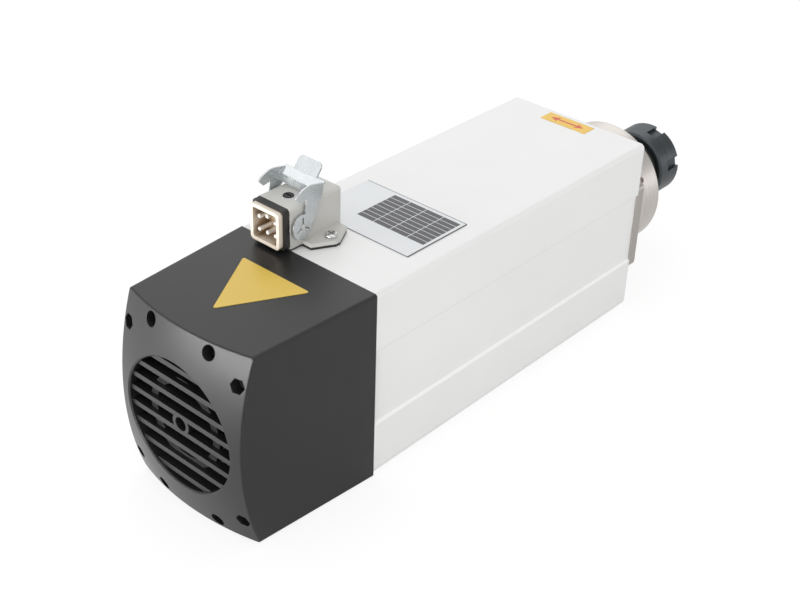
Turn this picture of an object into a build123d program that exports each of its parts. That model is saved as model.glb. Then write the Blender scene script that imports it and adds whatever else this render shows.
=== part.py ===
from build123d import *
import math
import os

# Air-cooled square motor spindle with an ER32 collet nose.
# Millimetres. +X runs along the spindle axis towards the tool, +Z is up, and the origin lies
# on the spindle axis at the front face of the front plate, where the round nose boss starts.

# ---------------------------------------------------------------- fits and clearances
seat_clearance = 0.02        # round seats between pieces of one body
running_clearance = 0.06     # pins and sliding fits that move
ball_clearance = 0.05        # ball to raceway and ball to cage
labyrinth_gap = 0.4          # nose cap and cover plates round the turning shaft
air_gap = 0.5                # rotor to stator
taper_clearance = 0.04       # collet in the shaft socket
thread_clearance = 0.08      # plain cylinders that stand in for threads
spigot_clearance = 0.05      # end shield and front plate in the frame's bore
end_gap = 0.3                # ends and faces that must not touch

# ---------------------------------------------------------------- motor frame
frame_width = 103.0
frame_height = 120.0
frame_length = 246.0
top_corner_radius = 3.0
foot_corner_radius = 6.5
side_band_height = 46.0      # shallow recess along each side
side_band_depth = 1.2
bore_radius = 44.0           # holds the stator and the end shields
channel_wall = 3.4           # between the bore and the air channels
channel_skin = 4.0           # outside wall over the air channels
channel_rib = 11.0           # solid ribs that carry the end shield screws
channel_span = 66.0
channel_corner = 2.0
channel_shoulder = 40.0      # lowest point of the narrow channels

# ---------------------------------------------------------------- fan cover
cover_length = 81.2          # joint to the corners of the domed end
cover_end_width = 93.2
cover_end_height = 117.5
cover_dome_radius = 178.0
cover_corner_radius = 1.8
cover_inner_corner_radius = 0.8
cover_rim_radius = 1.0
cover_wall = 2.4
cover_dome_wall = 5.0
cover_bolt_inset_y = 5.6     # bolt to the sides of the domed end
cover_bolt_inset_z = 16.2
cover_column_radius = 6.0
hex_pocket_radius = 4.25     # across corners / 2
hex_pocket_depth = 7.0
access_hole_radius = 4.0
grille_radius = 38.8
grille_recess = 2.2          # flat grille, behind its rim
grille_thickness = 5.0
grille_rim_bevel = 1.0
grille_pitch = 9.75
grille_bar = 3.05
grille_slots = 9
grille_rib_radius = 24.0
grille_rib_width = 4.8
grille_rib_setback = 2.9
grille_hub_radius = 6.15
grille_hub_hole_radius = 4.05

# ---------------------------------------------------------------- nose
plate_thickness = 6.5
plate_edge = 7.9             # screw to the plate's edge
plate_screw_margin = 1.6     # screw head to the boss
plate_corner_radius = 4.0
boss_radius = 42.5
boss_length = 37.2
boss_chamfer = 1.0
boss_port_x = 20.0           # blind hole in the boss's side
boss_port_angle = 61.6       # from straight up
boss_port_radius = 2.0
boss_port_depth = 3.0
spigot_length = 6.0
bearing_backing = 3.0        # shoulder behind the front bearings
nose_cap_radius = 38.6
nose_cap_thickness = 6.0
nose_cap_screw_circle = 35.0
nose_cap_screw_count = 6

# ---------------------------------------------------------------- bearings
front_bearing_bore = 35.0
front_bearing_outside = 62.0
front_bearing_width = 14.0
front_spacer_width = 3.0
front_ball_radius = 4.7
front_ball_count = 10
rear_bearing_bore = 25.0
rear_bearing_outside = 47.0
rear_bearing_width = 12.0
rear_ball_radius = 3.6
rear_ball_count = 8
cage_thickness = 1.6
cage_side = 1.0              # cage edge past its balls
spacer_ring_wall = 4.0
locknut_width = 9.0
locknut_wall = 7.0
locknut_slot_width = 5.0
locknut_slot_depth = 2.0
groove_share = 0.35          # raceway depth as a share of the ball radius

# ---------------------------------------------------------------- shaft, collet and nut
neck_radius = 21.0
neck_end = 64.5
shaft_step = 3.0             # shoulders that bearings and the rotor seat on
rotor_seat_overhang = 20.0
nose_chamfer = 1.0
nose_thread_radius = 20.0    # M40 x 1.5
thread_relief_radius = 18.6
thread_relief_length = 2.5
shaft_nose = 84.0
socket_mouth_radius = 16.0
socket_half_angle = 8.0
socket_depth = 37.0
socket_tail_radius = 10.5
socket_tail_depth = 46.0
socket_tip = 5.0             # drill point past the tail
rotor_seat_radius = 19.0
tail_radius = 10.0
nut_radius = 25.0
nut_back = 67.0
nut_length = 22.5
nut_slot_count = 6
nut_slot_width = 7.0
nut_slot_depth = 3.2
nut_slot_length = 14.0
nut_slot_phase = 17.0        # first slot from straight up
nut_chamfer = 1.2
nut_shaft_gap = 0.9          # shaft's nose to the shoulder in the nut
nut_mouth_radius = 14.9
nut_face_land = 1.5          # straight mouth in front of the nut's cone
collet_length = 40.0
collet_bore_radius = 6.0
collet_face_angle = 30.0
collet_slits = 6
collet_slit_width = 0.8
collet_slit_share = 0.82     # of the collet's length
collet_slit_phase = 7.5      # first slit from straight up
collet_face_length = 2.6

# ---------------------------------------------------------------- motor windings and rotor
stack_length = 130.0
stack_front = -66.0
rotor_radius = 26.0
rotor_end_ring_length = 8.0
rotor_end_ring_width = 6.0
winding_length = 30.0
winding_inner_radius = 31.0
winding_outer_radius = 43.0

# ---------------------------------------------------------------- rear end shield and fan
shield_depth = 12.5
shield_flange = 4.0
shield_ear_radius = 3.9
shield_screw_y = 21.6
shield_screw_inset = 6.8     # below the frame's top face
shield_lip = 2.0             # behind the bearing's outer ring
washer_wall = 5.0
shield_hub_radius = 29.0
preload_washer_thickness = 0.5
fan_radius = 41.0
fan_hub_radius = 15.0
fan_length = 24.0
fan_blades = 7
fan_blade_thickness = 1.8
fan_pitch_root = 50.0
fan_pitch_tip = 28.0
fan_gap = 10.0               # end shield to fan hub
fan_washer_thickness = 1.5
circlip_width = 1.5
circlip_radius = 16.0
circlip_opening = 5.0

# ---------------------------------------------------------------- power connector
connector_y = 23.5
connector_width = 25.0
connector_height = 23.9
connector_length = 39.4
connector_edge_radius = 2.0
connector_wall = 2.4
connector_overhang = 0.8     # housing mouth past the joint
gasket_thickness = 1.4
gasket_inset = 0.5           # inside the housing's side walls
flange_thickness = 2.4
flange_ear_reach = 13.4      # ear tip past the housing wall
flange_length = 27.6
flange_tip_length = 3.0
flange_waist_reach = 6.6
flange_setback = 8.8
flange_screw_reach = 8.2
pan_head_height = 2.2
pan_head_edge = 1.2
pan_cross_width = 0.9
pan_cross_depth = 1.0
insert_size = 22.0
insert_wall = 2.1
insert_protrusion = 7.0
insert_lip = 3.0
insert_pocket_depth = 11.5
insert_floor = 8.0
insert_corner_radius = 2.2
insert_pocket_corner = 1.2
seal_size = 24.0
pin_radius = 1.25
pin_setback = 1.6            # pin tips behind the mouth
pin_root = 4.0               # held in the insert's floor
pin_tip_chamfer = 0.5
pin_spacing_y = 6.1
pin_row_z = 3.9
pin_drop = 0.7               # both rows sit lower than the insert's middle
pin_earth_rise = 2.1
lead_radius = 4.0
lead_setback = 29.0          # behind the joint
lead_hole_clearance = 1.0
housing_screw_radius = 3.0
housing_screw_shank = 1.8
housing_screw_setback = 11.0
housing_screw_sink = 1.2
housing_screw_rise = 0.4

# ---------------------------------------------------------------- locking lever
lever_sheet = 1.0
lever_gap = 1.2              # cheek to housing wall
lever_disc_radius = 7.3
lever_pivot_setback = 7.4    # behind the housing's mouth
lever_foot_gap = 2.1         # disc to the flange under it
lever_pin_radius = 1.6
lever_spring_reach = 5.4     # three slots from the pin hole free the cheek's spring
lever_spring_slot = 0.8
lever_bar_front = 10.5       # crossbar's front edge behind the pivot
lever_bar_height = 18.3      # and above the pivot
lever_bar_depth = 5.8
lever_bar_rise = 2.2
lever_lip_height = 4.0       # turned-down front edge of the crossbar
lever_tab_width = 17.0
lever_tab_rise = 6.6
lever_tab_lean = 5.2
lever_tab_corner = 3.0

# ---------------------------------------------------------------- blank plates
rating_plate_length = 49.7
rating_plate_width = 75.2
rating_plate_gap = 0.3       # behind the connector's gasket
rating_plate_thickness = 0.5
label_thickness = 0.25
arrow_label_length = 11.2
arrow_label_width = 34.3
arrow_label_start = 231.3
arrow_label_y = 1.7
corner_label_start = 22.2
corner_label_length = 44.0
corner_label_width = 50.2
corner_label_radius = 1.0

# ---------------------------------------------------------------- fasteners: radius, head radius, height
m4 = (2.0, 3.5, 4.0)
m6 = (3.0, 5.0, 6.0)
hex_bolt_head_radius = 4.04
hex_bolt_head_height = 2.8
clearance_hole = 0.3         # added to a screw's radius
head_clearance = 0.2         # round and over a sunk head
thread_grip = 4.0            # thread engagement over screw radius
tap_runout = 2.0             # tapped hole past the screw's tip
tap_share = 0.84             # tapped hole radius over screw radius

# ---------------------------------------------------------------- mounting threads in the foot
foot_hole_radius = 3.4       # M8 tapping size
foot_hole_depth = 14.0
foot_hole_spacing_x = 160.0
foot_hole_spacing_y = 80.0

# ---------------------------------------------------------------- places worked out from the sizes
frame_front = -plate_thickness
joint_x = frame_front - frame_length
top_z = frame_height / 2
plate_screw_y = frame_width / 2 - plate_edge
plate_screw_circle = boss_radius + m6[1] + plate_screw_margin
plate_screw_z = math.sqrt(max(plate_screw_circle**2 - plate_screw_y**2, plate_edge**2))
plate_height = 2 * (plate_screw_z + plate_edge)
shield_screw_z = top_z - shield_screw_inset
cover_bolt_y = cover_end_width / 2 - cover_bolt_inset_y
cover_bolt_z = cover_end_height / 2 - cover_bolt_inset_z
taper_y = (frame_width - cover_end_width) / 2 / cover_length
taper_z = (frame_height - cover_end_height) / 2 / cover_length
corner_reach = math.hypot(cover_end_width, cover_end_height) / 2
dome_rise = cover_dome_radius - math.sqrt(cover_dome_radius**2 - corner_reach**2)
cover_apex = joint_x - cover_length - dome_rise
dome_centre = cover_apex + cover_dome_radius
grille_rim = dome_centre - math.sqrt(cover_dome_radius**2 - grille_radius**2)
grille_face = grille_rim + grille_recess
grille_back = grille_face + grille_thickness
front_bearing_start = boss_length - nose_cap_thickness - 2 * front_bearing_width - front_spacer_width
front_bearing_starts = [front_bearing_start, front_bearing_start + front_bearing_width + front_spacer_width]
shield_back = joint_x - shield_flange
rear_bearing_start = joint_x + preload_washer_thickness
nose_shoulder = boss_length - nose_cap_thickness
nose_cap_seat = boss_length - m4[2] - head_clearance
nut_front = nut_back + nut_length
connector_front = joint_x - connector_overhang
connector_base = top_z + gasket_thickness
connector_mid_z = connector_base + connector_height / 2
connector_top = connector_base + connector_height
insert_mouth = connector_front - insert_protrusion
lever_x = connector_front + lever_pivot_setback
lever_z = connector_base + flange_thickness + lever_foot_gap + lever_disc_radius
lead_x = joint_x + lead_setback
fan_front = shield_back - fan_gap
fan_back = fan_front - fan_length
LOW = (Align.CENTER, Align.CENTER, Align.MIN)


# ---------------------------------------------------------------- construction helpers
def across(x, y=0.0, z=0.0):
    """Plane square to the spindle axis at x; its own x and y run along Y and Z."""
    return Plane(origin=(x, y, z), x_dir=(0, 1, 0), z_dir=(1, 0, 0))


def disc(x_start, x_end, radius, y=0.0, z=0.0):
    return across(x_start, y, z) * Cylinder(radius, x_end - x_start, align=LOW)


def ring(x_start, x_end, inner_radius, outer_radius):
    return disc(x_start, x_end, outer_radius) - disc(x_start - 1, x_end + 1, inner_radius)


def post(x, y, z_start, z_end, radius):
    """Upright cylinder."""
    return Pos(x, y, z_start) * Cylinder(radius, z_end - z_start, align=LOW)


def turned(*outline):
    """Solid turned about the spindle axis from (x, radius) points."""
    return revolve(Plane.XZ * make_face(Polyline(*outline, close=True)), Axis.X)


def four_corners(y, z):
    return [(side * y, level * z) for side in (-1, 1) for level in (-1, 1)]


def socket_screw(x_under_head, length, size, y, z, towards=-1):
    """Socket head cap screw along X; its shank points in the direction of towards."""
    radius, head_radius, head_height = size
    head_top = x_under_head - towards * head_height
    head = disc(min(x_under_head, head_top), max(x_under_head, head_top), head_radius, y, z)
    tip = x_under_head + towards * length
    shank = disc(min(x_under_head, tip), max(x_under_head, tip), radius * tap_share - seat_clearance, y, z)
    key_plane = Plane(origin=(head_top, y, z), x_dir=(0, 1, 0), z_dir=(towards, 0, 0))
    key = extrude(key_plane * RegularPolygon(radius * 0.92, 6), head_height * 0.55)
    return head + shank - key


def countersunk_screw(x_face, length, size, y, z):
    """Flat head screw, flush with x_face, that points towards -X."""
    radius, head_radius, head_height = size
    shank_radius = radius * tap_share - seat_clearance
    neck = x_face - (head_radius - shank_radius)
    screw = turned((x_face, 0), (x_face, head_radius), (neck, shank_radius), (x_face - length, shank_radius),
                   (x_face - length, 0))
    key = extrude(across(x_face) * RegularPolygon(radius * 0.66, 6), -head_height * 0.4)
    return Pos(0, y, z) * (screw - key)


def countersink(x_face, size, y, z):
    outer = size[1] + seat_clearance
    return Pos(0, y, z) * turned((x_face, 0), (x_face, outer), (x_face - outer, 0))


def tapped_hole(x_face, towards, size, y, z):
    """Hole that takes a screw's threaded end, from x_face in the direction of towards."""
    x_end = x_face + towards * (grip(size) + tap_runout)
    return disc(min(x_face, x_end), max(x_face, x_end), size[0] * tap_share, y, z)


def grip(size):
    return thread_grip * size[0]


# ---------------------------------------------------------------- motor frame and front end
def motor_frame():
    outline = Rectangle(frame_width, frame_height)
    top = outline.vertices().group_by(Axis.Y)[-1]
    outline = fillet(top, top_corner_radius)
    foot = outline.vertices().group_by(Axis.Y)[0]
    outline = fillet(foot, foot_corner_radius)
    for side in (-1, 1):
        inner = side * (frame_width / 2 - side_band_depth)
        outer = side * (frame_width / 2 + side_band_depth)
        half = side_band_height / 2
        flare = 2 * side_band_depth
        outline -= make_face(Polyline((inner, -half), (outer, -half - flare), (outer, half + flare),
                                      (inner, half), close=True))
    outline -= Circle(bore_radius)
    body = extrude(across(joint_x) * outline, frame_length)
    body -= air_channels()
    for y, z in four_corners(cover_bolt_y, cover_bolt_z):
        body -= tapped_hole(joint_x, 1, m4, y, z)
    for y, z in four_corners(shield_screw_y, shield_screw_z):
        body -= tapped_hole(joint_x, 1, m4, y, z)
    for y, z in four_corners(plate_screw_y, plate_screw_z):
        body -= tapped_hole(frame_front, -1, m6, y, z)
    for x in (-1, 1):
        for y in (-1, 1):
            foot_x = frame_front - frame_length / 2 + x * foot_hole_spacing_x / 2
            foot_y = y * foot_hole_spacing_y / 2
            body -= post(foot_x, foot_y, -top_z, -top_z + foot_hole_depth, foot_hole_radius)
    body -= post(lead_x, connector_y, 0, top_z, lead_radius + lead_hole_clearance)
    for x, y in flange_screw_places():
        body -= post(x, y, top_z - channel_skin, top_z, m4[0] * tap_share)
    return body


def air_channels():
    """Slots over and under the bore, one wide and two narrow on each side."""
    channel_top = top_z - channel_skin
    wide = 2 * (shield_screw_y - channel_rib / 2)
    outer_start = shield_screw_y + channel_rib / 2
    narrow = channel_span / 2 - outer_start
    wide_height = channel_top - bore_radius - channel_wall
    narrow_height = channel_top - channel_shoulder
    wide_slot = Pos(0, channel_top - wide_height / 2) * RectangleRounded(wide, wide_height, channel_corner)
    narrow_slot = RectangleRounded(narrow, narrow_height, channel_corner)
    slots = wide_slot
    for side in (-1, 1):
        slots += Pos(side * (outer_start + narrow / 2), channel_top - narrow_height / 2) * narrow_slot
    upper = extrude(across(joint_x) * slots, frame_length)
    return upper + mirror(upper, Plane.XY)


def front_bearing_housing():
    plate = RectangleRounded(frame_width, plate_height, plate_corner_radius)
    plate = extrude(across(-plate_thickness) * plate, plate_thickness)
    boss = disc(0, boss_length, boss_radius)
    boss = chamfer(boss.edges().group_by(Axis.X)[-1], boss_chamfer)
    spigot = disc(frame_front - spigot_length, frame_front, bore_radius - spigot_clearance)
    body = plate + boss + spigot
    body -= disc(front_bearing_start, nose_shoulder, front_bearing_outside / 2 + seat_clearance)
    body -= disc(nose_shoulder, boss_length + 1, nose_cap_radius + seat_clearance)
    passage = front_bearing_outside / 2 - bearing_backing
    body -= disc(frame_front - spigot_length, front_bearing_start, passage)
    for y, z in four_corners(plate_screw_y, plate_screw_z):
        body -= disc(-plate_thickness, 0, m6[0] + clearance_hole, y, z)
        body -= countersink(0, m6, y, z)
    for y, z in nose_cap_screw_places():
        body -= tapped_hole(nose_shoulder, -1, m4, y, z)
    port_floor = boss_radius - boss_port_depth
    port = post(boss_port_x, 0, port_floor, boss_radius + boss_port_depth, boss_port_radius)
    return body - Rot(boss_port_angle, 0, 0) * port


def nose_cap_screw_places():
    steps = range(nose_cap_screw_count)
    angles = [math.tau * (step + 0.5) / nose_cap_screw_count for step in steps]
    return [(nose_cap_screw_circle * math.cos(a), nose_cap_screw_circle * math.sin(a)) for a in angles]


def front_plate_screws():
    length = plate_thickness + grip(m6)
    return [countersunk_screw(0, length, m6, y, z) for y, z in four_corners(plate_screw_y, plate_screw_z)]


def nose_cap():
    cap = ring(nose_shoulder, boss_length, neck_radius + labyrinth_gap, nose_cap_radius)
    for y, z in nose_cap_screw_places():
        cap -= disc(nose_shoulder, boss_length, m4[0] + clearance_hole, y, z)
        cap -= disc(nose_cap_seat, boss_length, m4[1] + head_clearance, y, z)
    return cap


def nose_cap_screws():
    length = nose_cap_seat - nose_shoulder + grip(m4)
    return [socket_screw(nose_cap_seat, length, m4, y, z) for y, z in nose_cap_screw_places()]


# ---------------------------------------------------------------- bearings
class Bearing:
    """Deep-groove ball bearing, as separate rings, balls and cage."""

    def __init__(self, start, bore, outside, width, ball_radius, ball_count):
        self.start, self.end = start, start + width
        self.middle = start + width / 2
        self.inner_radius, self.outer_radius = bore / 2, outside / 2
        self.pitch_radius = (bore + outside) / 4
        self.ball_radius, self.ball_count = ball_radius, ball_count
        self.shoulder = ball_radius * (1 - groove_share)

    def raceway(self):
        return across(self.middle) * Torus(self.pitch_radius, self.ball_radius + ball_clearance)

    def outer_ring(self):
        inside = self.pitch_radius + self.shoulder
        return ring(self.start, self.end, inside, self.outer_radius) - self.raceway()

    def inner_ring(self):
        outside = self.pitch_radius - self.shoulder
        return ring(self.start, self.end, self.inner_radius + seat_clearance, outside) - self.raceway()

    def ball_places(self):
        turns = [360 * step / self.ball_count for step in range(self.ball_count)]
        return [Rot(turn, 0, 0) * Pos(self.middle, 0, self.pitch_radius) for turn in turns]

    def balls(self):
        return [place * Sphere(self.ball_radius) for place in self.ball_places()]

    def cage(self):
        half_width = self.ball_radius + cage_side
        half_sheet = cage_thickness / 2
        band = ring(self.middle - half_width, self.middle + half_width,
                    self.pitch_radius - half_sheet, self.pitch_radius + half_sheet)
        for place in self.ball_places():
            band -= place * Cylinder(self.ball_radius + ball_clearance, 2 * self.ball_radius)
        return band


front_bearings = [Bearing(start, front_bearing_bore, front_bearing_outside, front_bearing_width,
                          front_ball_radius, front_ball_count) for start in front_bearing_starts]
rear_bearing = Bearing(rear_bearing_start, rear_bearing_bore, rear_bearing_outside, rear_bearing_width,
                       rear_ball_radius, rear_ball_count)


def outer_ring_spacer():
    start = front_bearings[0].end
    outside = front_bearing_outside / 2
    return ring(start, start + front_spacer_width, outside - spacer_ring_wall, outside)


def inner_ring_spacer():
    start = front_bearings[0].end
    inside = front_bearing_bore / 2 + seat_clearance
    return ring(start, start + front_spacer_width, inside, front_bearing_bore / 2 + spacer_ring_wall)


def bearing_locknut():
    start = front_bearing_start - locknut_width
    inside = front_bearing_bore / 2 + seat_clearance
    outside = front_bearing_bore / 2 + locknut_wall
    nut = ring(start, front_bearing_start, inside, outside)
    slot = Pos(start + locknut_width / 2, 0, outside) * Box(locknut_width, locknut_slot_width,
                                                            2 * locknut_slot_depth)
    for angle in range(0, 360, 90):
        nut -= Rot(angle, 0, 0) * slot
    return nut


# ---------------------------------------------------------------- rotor
def spindle_shaft():
    socket_end_radius = socket_mouth_radius - socket_depth * math.tan(math.radians(socket_half_angle))
    tail_start = fan_back + end_gap
    rear_step = rear_bearing_bore / 2 + shaft_step
    seat_front = stack_front + rotor_seat_overhang
    seat_back = stack_front - stack_length - rotor_seat_overhang
    outline = [
        (tail_start, 0), (tail_start, tail_radius), (rear_bearing_start - circlip_width, tail_radius),
        (rear_bearing_start - circlip_width, rear_bearing_bore / 2),
        (rear_bearing.end, rear_bearing_bore / 2), (rear_bearing.end, rear_step),
        (seat_back, rear_step), (seat_back, rotor_seat_radius),
        (seat_front, rotor_seat_radius), (seat_front, front_bearing_bore / 2),
        (nose_shoulder, front_bearing_bore / 2), (nose_shoulder, neck_radius), (neck_end, neck_radius),
        (neck_end, thread_relief_radius), (neck_end + thread_relief_length, thread_relief_radius),
        (neck_end + thread_relief_length, nose_thread_radius),
        (shaft_nose - nose_chamfer, nose_thread_radius),
        (shaft_nose, nose_thread_radius - nose_chamfer), (shaft_nose, socket_mouth_radius),
        (shaft_nose - socket_depth, socket_end_radius), (shaft_nose - socket_depth, socket_tail_radius),
        (shaft_nose - socket_tail_depth, socket_tail_radius),
        (shaft_nose - socket_tail_depth - socket_tip, 0),
    ]
    return turned(*outline) - tapped_hole(tail_start, 1, m6, 0, 0)


def rotor_core():
    return ring(stack_front - stack_length, stack_front, rotor_seat_radius + seat_clearance, rotor_radius)


def rotor_end_rings():
    inner = rotor_radius - rotor_end_ring_width
    back = stack_front - stack_length
    return [ring(stack_front, stack_front + rotor_end_ring_length, inner, rotor_radius),
            ring(back - rotor_end_ring_length, back, inner, rotor_radius)]


# ---------------------------------------------------------------- stator
def stator_core():
    inside, outside = rotor_radius + air_gap, bore_radius - seat_clearance
    return ring(stack_front - stack_length, stack_front, inside, outside)


def stator_windings():
    """End turns in front of and behind the stack."""
    back = stack_front - stack_length
    return [ring(stack_front, stack_front + winding_length, winding_inner_radius, winding_outer_radius),
            ring(back - winding_length, back, winding_inner_radius, winding_outer_radius)]


# ---------------------------------------------------------------- rear end shield and fan
def rear_end_shield():
    shield = disc(joint_x, joint_x + shield_depth, bore_radius - spigot_clearance)
    shield += disc(shield_back, joint_x, shield_hub_radius)
    for y, z in four_corners(shield_screw_y, shield_screw_z):
        reach = math.hypot(y, z)
        arm = Box(shield_flange, reach, 2 * shield_ear_radius)
        arm = Pos(shield_back + shield_flange / 2, reach / 2, 0) * arm
        shield += Rot(math.degrees(math.atan2(z, y)), 0, 0) * arm
        shield += disc(shield_back, joint_x, shield_ear_radius, y, z)
    bearing_seat = rear_bearing_outside / 2 + seat_clearance
    shield -= disc(joint_x, joint_x + shield_depth, bearing_seat)
    shield -= disc(shield_back, joint_x, rear_bearing_outside / 2 - shield_lip)
    for y, z in four_corners(shield_screw_y, shield_screw_z):
        shield -= disc(shield_back, joint_x, m4[0] + clearance_hole, y, z)
    return shield


def rear_end_shield_screws():
    places = four_corners(shield_screw_y, shield_screw_z)
    return [socket_screw(shield_back, shield_flange + grip(m4), m4, y, z, towards=1) for y, z in places]


def preload_washer():
    outside = rear_bearing_outside / 2
    return ring(joint_x, rear_bearing_start, outside - washer_wall, outside - running_clearance)


def bearing_circlip():
    start = rear_bearing_start - circlip_width
    clip = ring(start, rear_bearing_start, rear_bearing_bore / 2 + seat_clearance, circlip_radius)
    opening = Box(2 * circlip_width, circlip_opening, circlip_radius, align=LOW)
    return clip - Pos(start + circlip_width / 2, 0, 0) * opening


def cooling_fan():
    fan = ring(fan_back, fan_front, tail_radius + seat_clearance, fan_hub_radius)
    blade = fan_blade((fan_front + fan_back) / 2)
    for step in range(fan_blades):
        fan += Rot(360 * step / fan_blades, 0, 0) * blade
    return fan


def fan_blade(middle_x):
    """Twisted blade, from inside the hub to the tip."""
    sections = []
    root_radius = fan_hub_radius - fan_blade_thickness
    for radius, pitch in ((root_radius, fan_pitch_root), (fan_radius, fan_pitch_tip)):
        plane = Plane(origin=(middle_x, 0, radius), x_dir=(1, 0, 0), z_dir=(0, 0, 1))
        sections.append(plane * Rot(0, 0, pitch) * Rectangle(fan_length, fan_blade_thickness))
    return loft(sections, ruled=True)


def fan_screw():
    seat = fan_back - fan_washer_thickness
    washer = disc(seat, fan_back, fan_hub_radius - fan_blade_thickness)
    return washer + socket_screw(seat, fan_washer_thickness + grip(m6), m6, 0, 0, towards=1)


# ---------------------------------------------------------------- fan cover
def cover_block(inset, dome_radius):
    """Tapering block from the joint, closed by a spherical end."""
    sections = []
    for x in (joint_x, cover_apex):
        width = frame_width - 2 * taper_y * (joint_x - x) - 2 * inset
        height = frame_height - 2 * taper_z * (joint_x - x) - 2 * inset
        radius = cover_inner_corner_radius if inset else cover_corner_radius
        sections.append(across(x) * RectangleRounded(width, height, radius))
    return loft(sections, ruled=True) & Pos(dome_centre, 0, 0) * Sphere(dome_radius)


def fan_cover():
    outside = cover_block(0, cover_dome_radius)
    dome = outside.faces().sort_by(Axis.X)[0]
    outside = fillet(dome.edges(), cover_rim_radius)
    inside = cover_block(cover_wall, cover_dome_radius - cover_dome_wall)
    for y, z in four_corners(cover_bolt_y, cover_bolt_z):
        inside -= disc(cover_apex, joint_x, cover_column_radius, y, z)
    cover = outside - inside
    cover -= disc(cover_apex, grille_back, grille_radius)
    cover -= turned((grille_rim - grille_rim_bevel, 0), (grille_rim - grille_rim_bevel, grille_radius
                    + 2 * grille_rim_bevel), (grille_rim + grille_rim_bevel, grille_radius),
                    (grille_rim + grille_rim_bevel, 0))
    cover += grille()
    bolt_seat = cover_bolt_seat()
    for y, z in four_corners(cover_bolt_y, cover_bolt_z):
        cover -= disc(cover_apex, joint_x, m4[0] + clearance_hole, y, z)
        pocket = across(cover_apex, y, z) * RegularPolygon(hex_pocket_radius, 6)
        cover -= extrude(pocket, bolt_seat - cover_apex)
    for y, z in four_corners(shield_screw_y, shield_screw_z):
        cover -= disc(cover_apex, bolt_seat, access_hole_radius, y, z)
    return cover


def cover_bolt_seat():
    reach = math.hypot(cover_bolt_y, cover_bolt_z)
    surface = dome_centre - math.sqrt(cover_dome_radius**2 - reach**2)
    return surface + hex_pocket_depth


def grille():
    """Flat round grille of level bars, with a hub and a ring set back behind the bars."""
    x_middle = (grille_face + grille_back) / 2
    rib_outside = grille_rib_radius + grille_rib_width / 2
    window = disc(grille_face, grille_back, grille_radius)
    bars = disc(grille_face, grille_back, grille_radius + cover_dome_wall / 2)
    for step in range(grille_slots):
        level = (step - (grille_slots - 1) / 2) * grille_pitch
        slot = Box(grille_thickness, 2 * grille_radius, grille_pitch - grille_bar)
        bars -= window & Pos(x_middle, 0, level) * slot
    rib = ring(grille_face + grille_rib_setback, grille_back, rib_outside - grille_rib_width, rib_outside)
    hub = disc(grille_face, grille_back, grille_hub_radius)
    return bars + rib + hub - disc(grille_face, grille_back, grille_hub_hole_radius)


def fan_cover_bolts():
    bolts = []
    seat = cover_bolt_seat()
    for y, z in four_corners(cover_bolt_y, cover_bolt_z):
        head_plane = across(seat - hex_bolt_head_height, y, z)
        head = extrude(head_plane * RegularPolygon(hex_bolt_head_radius, 6), hex_bolt_head_height)
        shank = disc(seat, joint_x + grip(m4), m4[0] * tap_share - seat_clearance, y, z)
        bolts.append(head + shank)
    return bolts


# ---------------------------------------------------------------- power connector
def flange_outline():
    """Long hexagon with blunt ears, in plan, about the housing's own centre line."""
    half_width = connector_width / 2
    middle = flange_setback + flange_length / 2
    half_tip = flange_tip_length / 2
    half_waist = flange_length / 2
    tip, waist = half_width + flange_ear_reach, half_width + flange_waist_reach
    right = [(middle - half_waist, waist), (middle - half_tip, tip), (middle + half_tip, tip),
             (middle + half_waist, waist)]
    left = [(x, -y) for x, y in reversed(right)]
    return make_face(Polyline(*right, *left, close=True))


def flange_screw_places():
    x = connector_front + flange_setback + flange_length / 2
    reach = connector_width / 2 + flange_screw_reach
    return [(x, connector_y - reach), (x, connector_y + reach)]


def connector_gasket():
    outline = Plane(origin=(connector_front, connector_y, top_z)) * flange_outline()
    body = Plane(origin=(connector_front + connector_length / 2, connector_y, top_z)) * \
        Rectangle(connector_length, connector_width - 2 * gasket_inset)
    sheet = extrude(outline + body, gasket_thickness)
    sheet -= post(lead_x, connector_y, top_z, connector_base, lead_radius + lead_hole_clearance)
    for x, y in flange_screw_places():
        sheet -= post(x, y, top_z, connector_base, m4[0] + clearance_hole)
    return sheet


def connector_housing():
    middle_x = connector_front + connector_length / 2
    block = Pos(middle_x, connector_y, connector_base) * Box(connector_length, connector_width,
                                                             connector_height, align=LOW)
    block = fillet(block.edges().filter_by(Axis.X).group_by(Axis.Z)[-1], connector_edge_radius)
    back_top = block.edges().filter_by(Axis.Y).group_by(Axis.Z)[-1].sort_by(Axis.X)[-1]
    block = fillet(back_top, connector_edge_radius)
    flange = Plane(origin=(connector_front, connector_y, connector_base)) * flange_outline()
    body = block + extrude(flange, flange_thickness)
    cavity = insert_body_size() + seat_clearance
    body -= Pos(connector_front, connector_y, connector_mid_z) * Box(
        2 * (connector_length - connector_wall), cavity, cavity)
    body -= post(lead_x, connector_y, connector_base, connector_mid_z, lead_radius + lead_hole_clearance)
    body -= Pos(lever_x, connector_y, lever_z) * Rot(90, 0, 0) * Cylinder(lever_pin_radius + seat_clearance,
                                                                      connector_width)
    for x, y in flange_screw_places():
        body -= post(x, y, connector_base, connector_base + flange_thickness, m4[0] + clearance_hole)
    screw_x = connector_front + housing_screw_setback
    body -= post(screw_x, connector_y, connector_mid_z, connector_top, housing_screw_shank)
    return body - post(screw_x, connector_y, connector_top - housing_screw_sink, connector_top,
                       housing_screw_radius + head_clearance)


def insert_body_size():
    """Width of the insert behind its lip, inside the housing."""
    return connector_width - 2 * connector_wall


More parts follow.
